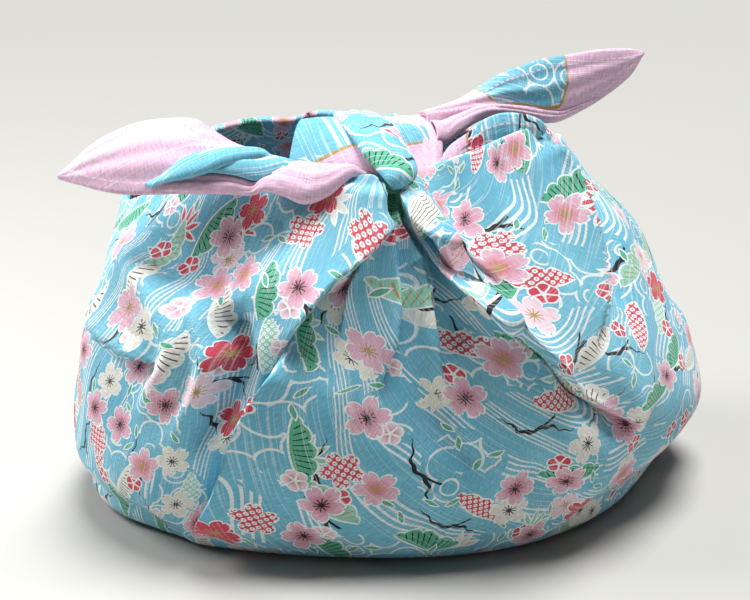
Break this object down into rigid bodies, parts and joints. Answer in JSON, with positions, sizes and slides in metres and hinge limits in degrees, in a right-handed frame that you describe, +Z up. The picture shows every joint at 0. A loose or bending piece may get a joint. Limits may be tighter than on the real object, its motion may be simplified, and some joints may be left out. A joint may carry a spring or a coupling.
{
  "type": "furoshiki wrap",
  "caption": "Square printed cotton wrapping cloth, its corners drawn up and knotted over an open mouth so that it stands as a soft carrying bundle.",
  "frame": {"origin": "middle of the flat face on which the bundle rests", "axes": "+Z up, -Y is the front with the gathered pleats, +X runs along the long side towards the raised free end"},
  "size_m": [0.3682, 0.261, 0.251],
  "materials": {
    "cloth": "slub-woven cotton, sky blue print with pink borders and blossoms, matt"
  },
  "bodies": {
    "root": {"wrap_cloth": "cloth"}
  },
  "joints": []
}
